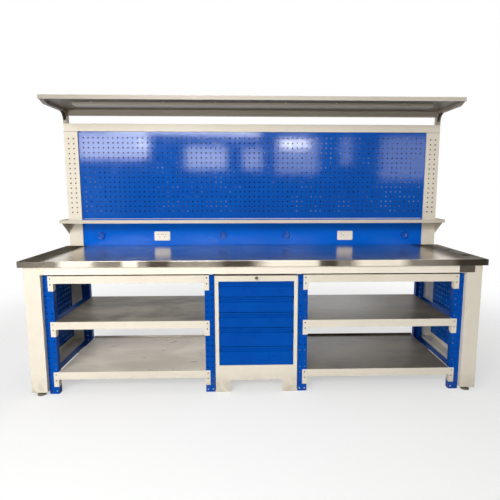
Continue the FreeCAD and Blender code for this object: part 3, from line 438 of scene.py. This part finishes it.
def zinc_plate(wires, place):
    crystals = wires.node("TexVoronoi", None, {"Vector": place, "Scale": 95.0}, output="Color")
    shade = axis(wires, crystals, 0)
    film = noise(wires, place, 14.0, 4.0)
    colour = (0.5 * shade + 0.5 * film).mix(linear(168, 170, 172), linear(208, 210, 211))
    return {"Base Color": colour, "Roughness": 0.30 + 0.18 * film,
            "Normal": bump(wires, shade, 0.05, 0.0002)}


coat_nodes(cream, "cabinet_shell")
coat_nodes(satin_blue, *[f"drawer_front_{number}" for number in drawer_numbers])
coat_nodes(finish("zinc_plate", {"Metallic": 1.0}, zinc_plate), "drawer_slides", "lock_bar",
           *[f"drawer_box_{number}" for number in drawer_numbers])


# Lock. A turned, nickel-plated barrel in a hole of the cabinet's lock rail, with its stamped
# key. It works the locking bar inside the cabinet.
def nickel(wires, place):
    turned = noise(wires, place, 700.0, 2.0)
    film = noise(wires, place, 90.0, 3.0)
    # Painted reflection: a darkened nickel tone for the dark surroundings that barrel and key
    # mirror.
    return {"Base Color": film.mix(linear(92, 85, 75), linear(138, 130, 118)),
            "Roughness": 0.22 + 0.12 * film, "Normal": bump(wires, turned, 0.05, 0.0001)}


coat_nodes(finish("nickel_plate", {"Metallic": 1.0}, nickel), "lock_body", "lock_key")


# Worktop. Brushed stainless sheet, folded down 40 mm over a board of pressed wood. Hands and
# tools have dulled it. Its ends are darker and duller, and its folded edge is painted with
# highlights and dark reflections in stretches.
top_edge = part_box("worktop_skin")[0].y
fold = (top_edge + 0.0015, top_edge + 0.0005)
# Painted highlights and painted dark reflections on the folded edge: middle and half length.
painted_highlight_stretches = ((-1.14, 0.11), (-0.80, 0.05), (0.23, 0.21), (0.80, 0.18))
painted_dark_stretches = ((-0.62, 0.07), (-0.12, 0.10), (0.46, 0.06), (1.40, 0.12))


def stretches(wires, across, places):
    """1 within half a length of each middle along the bench, soft at the ends."""
    share = None
    for middle, half in places:
        one = abs(across - middle).fade(1.3 * half, 0.6 * half)
        share = share.larger(one) if share else one
    return share


def brushed_top(wires, place):
    across, depth = axis(wires, place, 0), axis(wires, place, 1)
    lines = noise(wires, place, 900.0, 2.0, (0.012, 1.0, 1.0))
    rubbed = noise(wires, place, 3.2, 5.0, (1.0, 2.2, 1.0), 0.5)
    tone = (0.75 * rubbed + 0.25 * lines).fade(0.30, 0.70)
    top = tone.mix(linear(216, 210, 198), linear(246, 241, 231))
    # The folded edge's colour is painted reflection: a darker tone, painted highlights and dark
    # stretches.
    painted_highlight = stretches(wires, across, painted_highlight_stretches)
    edge = (0.9 * rubbed + 0.1 * lines).fade(0.3, 0.7)
    edge = edge.mix(linear(158, 149, 135), linear(206, 197, 182))
    edge = painted_highlight.mix(edge, linear(250, 239, 220))
    edge = stretches(wires, across, painted_dark_stretches).mix(edge, linear(104, 95, 84))
    folded = depth.fade(*fold)
    # Where the highlights are painted, the edge is less metallic.
    return {"Base Color": folded.mix(top, edge), "Metallic": 1.0 - 0.85 * (folded * painted_highlight),
            "Roughness": 0.15 + 0.10 * rubbed + 0.05 * lines,
            "Normal": bump(wires, lines, 0.10, 0.0002)}


# A darker, duller, blotched steel that the worktop's ends take.
def dark_end_steel(wires, place):
    blotches = noise(wires, place, 15.0, 6.0, (1.0, 1.0, 1.0), 0.8)
    return {"Base Color": blotches.fade(0.35, 0.65).mix(linear(58, 51, 42), linear(112, 103, 89)),
            "Roughness": 0.30 + 0.20 * blotches, "Normal": bump(wires, blotches, 0.15, 0.0003)}


def dark_end_share(wires, place):
    """Share of the darker steel: most at the ends of the top, little on the folded edge."""
    across, depth = axis(wires, place, 0), axis(wires, place, 1)
    clouds = noise(wires, place, 9.0, 5.0, (1.0, 1.6, 1.0), 0.6)
    left_end = across.fade(-1.29, -1.37) * (0.80 + 0.35 * clouds)
    right_end = across.fade(1.20, 1.36) * (0.55 + 0.60 * clouds)
    flat = depth.fade(*reversed(fold))
    return ((left_end + right_end) * (0.10 + 0.90 * flat)).smaller(1.0)


def pressed_wood(wires, place):
    chips = wires.node("TexVoronoi", None, {"Vector": place, "Scale": 190.0}, output="Distance")
    tone = 0.6 * chips + 0.6 * noise(wires, place, 60.0, 4.0)
    return {"Base Color": tone.mix(linear(118, 92, 64), linear(196, 166, 126)),
            "Roughness": 0.75 + 0.2 * chips, "Normal": bump(wires, chips, 0.4, 0.0006)}


brushed = {"Specular Tint": (0.82, 0.80, 0.77, 1.0)}
# The darker specular tint of the steel at the ends.
dark_end_fixed = {"Metallic": 1.0, "Specular Tint": (0.24, 0.23, 0.21, 1.0)}
coat_nodes(finish("brushed_stainless", brushed, brushed_top,
                  overlay=(dark_end_fixed, dark_end_steel, dark_end_share)), "worktop_skin")
coat_nodes(finish("pressed_wood", gloss(0.25), pressed_wood), "worktop_core")


# Corner plates of the front apron. Two thin joint covers, a bare steel one at the right leg and
# a painted one at the left, each held by two small pan-head screws.
def bench_piece(name, shape, material):
    """A visible piece that rides on the bench frame."""
    made = mesh_object(name, shape, material)
    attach(made, "frame")


def chamfered_plate(name, low, high, corner, material):
    """A thin sheet piece between two corners, its upright edges rounded."""
    shape = bmesh.new()
    bmesh.ops.create_cube(shape, size=1.0)
    low, high = Vector(low), Vector(high)
    size = high - low
    for vert in shape.verts:
        vert.co = [low[n] + (vert.co[n] + 0.5) * size[n] for n in range(3)]
    thin = min(range(3), key=lambda n: size[n])
    through = [edge for edge in shape.edges
               if abs((edge.verts[0].co - edge.verts[1].co)[thin]) > size[thin] * 0.5]
    bmesh.ops.bevel(shape, geom=through, offset=corner, segments=3, affect="EDGES")
    bmesh.ops.bevel(shape, geom=shape.edges[:], offset=size[thin] * 0.25, segments=2,
                    affect="EDGES", clamp_overlap=True)
    bench_piece(name, shape, material)


def pan_screws(name, heads, facing, radius, material):
    """Cross-recessed screw heads at the points of heads, standing along facing."""
    profile = ((0.35, 0.60), (0.72, 0.46), (0.93, 0.22), (1.0, 0.0))
    cross_depth, tip_height, around = 0.16, 0.32, 20
    shape = bmesh.new()
    turn = Vector(facing).to_track_quat("Z", "Y").to_matrix()
    for head in heads:
        rings = []
        for out, up in profile:
            ring = []
            for step in range(around):
                angle = 2 * math.pi * step / around
                cross = cross_depth if out < 0.5 and step % 5 == 0 else 0.0
                local = Vector((out * math.cos(angle), out * math.sin(angle), up - cross))
                ring.append(shape.verts.new(Vector(head) + turn @ (local * radius)))
            rings.append(ring)
        tip = shape.verts.new(Vector(head) + turn @ Vector((0, 0, tip_height * radius)))
        for step in range(around):
            after = (step + 1) % around
            shape.faces.new((tip, rings[0][step], rings[0][after]))
            for inner, outer in zip(rings, rings[1:]):
                shape.faces.new((inner[step], outer[step], outer[after], inner[after]))
        shape.faces.new(list(reversed(rings[-1])))
    bmesh.ops.recalc_face_normals(shape, faces=shape.faces[:])
    bench_piece(name, shape, material)


def worn_plate(wires, place):
    film = noise(wires, place, 26.0, 5.0)
    lines = noise(wires, place, 800.0, 2.0, (0.02, 1.0, 1.0))
    return {"Base Color": film.mix(linear(92, 84, 74), linear(132, 124, 112)),
            "Roughness": 0.34 + 0.2 * film, "Normal": bump(wires, lines, 0.1, 0.0002)}


def aged_cream(wires, place):
    film = noise(wires, place, 18.0, 4.0)
    return {"Base Color": film.mix(linear(238, 219, 194), linear(246, 231, 210)),
            "Roughness": 0.35 + 0.1 * film,
            "Normal": bump(wires, noise(wires, place, 260.0), 0.1, 0.0003)}


steel_plate = finish("worn_plate", {"Metallic": 0.85}, worn_plate)
pale_plate = finish("aged_cream", gloss(0.35), aged_cream)
apron_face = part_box("front_apron")[0].y
plate_face = apron_face - 0.0012
plate_corner = 0.002
plate_screw, plate_screw_up = 0.004, 0.836
# Side, reach across and up, screws across, finish and slot.
corner_plates = (
    ("right", (1.320, 1.422), (0.812, 0.859), (1.330, 1.412), steel_plate, "stainless"),
    ("left", (-1.406, -1.343), (0.811, 0.851), (-1.396, -1.353), pale_plate, "cream_paint"),
)
for side, width, height, screws, material, slot in corner_plates:
    chamfered_plate("corner_plate_" + side, (width[0], plate_face, height[0]),
                    (width[1], apron_face, height[1]), plate_corner, material)
for side, width, height, screws, material, slot in corner_plates:
    pan_screws("corner_plate_screws_" + side, [(x, plate_face, plate_screw_up) for x in screws],
               (0, -1, 0), plate_screw, material)


# Rear posts and top rail. Square-holed box posts bolted behind the worktop, cream outside and
# raw sheet inside, painted near black as shade, with a dark seam where the rail sits on them.
post_low, post_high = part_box("post_right")
post_sheet = 0.0008
seam_below = (0.006, 0.002)


def raw_inside_painted_shade(wires, place):
    """The cream coat on a post's outside, a dark seam under the rail, raw sheet within painted near
    black as shade.
    """
    coat = cream_coat(wires, place)
    across, depth, height = (axis(wires, place, number) for number in range(3))
    inside = None
    for along, low, high in ((abs(across), post_low.x, post_high.x),
                             (depth, post_low.y, post_high.y)):
        for wall, inward in ((low, post_sheet), (high, -post_sheet)):
            within = along.fade(wall + inward, wall + 1.5 * inward)
            inside = inside * within if inside else within
    seam = height.fade(*[post_high.z - below for below in seam_below])
    # Inside the posts: near black, painted shade. The seam under the rail takes half that, a dark
    # joint.
    coat["Base Color"] = inside.larger(0.5 * seam).mix(coat["Base Color"], linear(38, 34, 30))
    return coat


coat_nodes(cream, "top_rail")
coat_nodes(finish("cream_coat_raw_inside", cream_gloss, raw_inside_painted_shade), "post_left", "post_right")


# Pegboard and socket panel. Sheet steel between the posts, the upper one punched with square
# holes. Both have a glossy blue powder coat, so they mirror the windows opposite. The lower one's
# coat is a paler copy, painted light, and a dusk card behind the holes shows painted shade.
pegboard_coat = powder_coat((0, 84, 180), (0, 74, 166), 0.08, 0.0)
# Painted light: a paler copy of the blue coat for the socket panel.
painted_lit_panel_coat = powder_coat((0, 96, 206), (0, 88, 196), 0.12, 0.0)
coat_nodes(finish("gloss_blue_coat", gloss(0.45), pegboard_coat), "pegboard")
coat_nodes(finish("lower_blue_coat", gloss(0.16), painted_lit_panel_coat), "socket_panel")
low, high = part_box("pegboard")
dusk_card("dusk_pegboard", (low.x, high.y + card_gap, low.z),
          (high.x - low.x, 0, 0), (0, 0, high.z - low.z))


# Sockets and caps. White moulded socket plates screwed to the panel, their pin holes painted dark
# inside as shade, and four blue plastic caps that close the panel's knockouts.
socket_centres = (-0.740, 0.737)
socket_height = 0.975
socket_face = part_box("socket_outlets")[0].y


def moulded_white(wires, place):
    across, depth, height = (axis(wires, place, number) for number in range(3))
    left_centre, right_centre = (abs(across - centre) for centre in socket_centres)
    # Painted shade: the pin holes are dark inside, behind the plate's face.
    inner = depth.fade(socket_face + 0.0008, socket_face + 0.0018)
    inner = inner * left_centre.smaller(right_centre).fade(0.055, 0.053)
    inner = inner * abs(height - socket_height).fade(0.031, 0.029)
    film = noise(wires, place, 30.0, 4.0)
    colour = inner.mix(film.mix(linear(226, 219, 206), linear(234, 228, 216)), linear(40, 34, 30))
    return {"Base Color": colour, "Roughness": 0.28 + 0.15 * film,
            "Normal": bump(wires, noise(wires, place, 500.0), 0.04, 0.0001)}


def moulded_blue(wires, place):
    film = noise(wires, place, 40.0, 4.0)
    return {"Base Color": film.mix(linear(0, 66, 160), linear(6, 84, 184)),
            "Roughness": 0.24 + 0.16 * film,
            "Normal": bump(wires, noise(wires, place, 420.0), 0.06, 0.0002)}


coat_nodes(finish("moulded_white", gloss(0.45), moulded_white), "socket_outlets")
coat_nodes(finish("moulded_blue", gloss(0.4), moulded_blue), "round_covers")


# Mid shelf. A folded cream tray on two brackets along the posts, in a darker copy of the cream
# coat: painted shade.
painted_shade_shelf_coat = powder_coat((206, 198, 183), (196, 187, 171), cream_rough, cream_darkening)
coat_nodes(finish("mid_shelf_coat", cream_gloss, painted_shade_shelf_coat), "mid_shelf")


# Canopy. A folded cream tray on two curved arms and a rear beam. Its lip and top are painted
# darker to the left and its underside much darker, as shade; the arms and rear beam have a darker
# copy of the cream coat, painted shade too.
canopy_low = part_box("canopy_tray")[0]


def canopy_coat(wires, place):
    """The cream coat with painted shade: darker to the left on the lip and on top, much darker and
    mottled on the underside.
    """
    coat = cream_coat(wires, place)
    across, depth, height = (axis(wires, place, number) for number in range(3))
    # Painted shade along the bench, darker to the left.
    lip = across.fade(-1.5, -0.3).mix(linear(166, 158, 145), linear(198, 190, 176))
    # A mottle for the underside's painted shade.
    dust = noise(wires, place, 7.0, 4.0, (0.5, 1.0, 1.0))
    under = dust.mix(linear(106, 98, 86), linear(140, 131, 117))
    behind_lip = depth.fade(canopy_low.y + 0.0010, canopy_low.y + 0.0016)
    bottom = height.fade(canopy_low.z + 0.0006, canopy_low.z + 0.0003)
    coat["Base Color"] = (behind_lip * bottom).mix(lip, under)
    return coat


# Painted shade: a darker copy of the cream coat for the canopy's arms and rear beam, and the lamp
# housing.
shaded = finish("shaded_cream_coat", cream_gloss,
                powder_coat((180, 171, 156), (168, 159, 144), 0.5, 0.3))
coat_nodes(finish("canopy_coat", cream_gloss, canopy_coat), "canopy_tray")
coat_nodes(shaded, "canopy_arms", "canopy_rear_beam")


# Lamp. A sheet housing in a darker copy of the cream coat, painted shade, under the canopy, with a
# milky ribbed strip, switched off, painted darker to the right as shade. Six pan-head screws hold
# it in the canopy's underside, along its front.
lamp_low, lamp_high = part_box("lamp_housing")
lamp_screw = 0.006
lamp_screw_places = (-1.15, -0.645, -0.28, 0.22, 0.58, 1.07)


def milky_strip(wires, place):
    ribs = noise(wires, place, 300.0, 1.0, (0.02, 1.0, 0.0))
    dust = noise(wires, place, 20.0, 4.0)
    # Painted shade: the strip darkens from left to right.
    strip = axis(wires, place, 0).fade(-1.3, 1.3).mix(linear(196, 187, 171), linear(124, 115, 104))
    return {"Base Color": (0.3 * dust).mix(strip, linear(110, 100, 88)),
            "Roughness": 0.35 + 0.1 * dust, "Normal": bump(wires, ribs, 0.2, 0.0003)}


coat_nodes(shaded, "lamp_housing")
coat_nodes(finish("milky_strip", gloss(0.5), milky_strip), "lamp_diffuser")
screw_line = lamp_low.y - lamp_screw - 0.002
pan_screws("lamp_screws", [(x, screw_line, lamp_high.z) for x in lamp_screw_places],
           (0, 0, -1), lamp_screw, pale_plate)
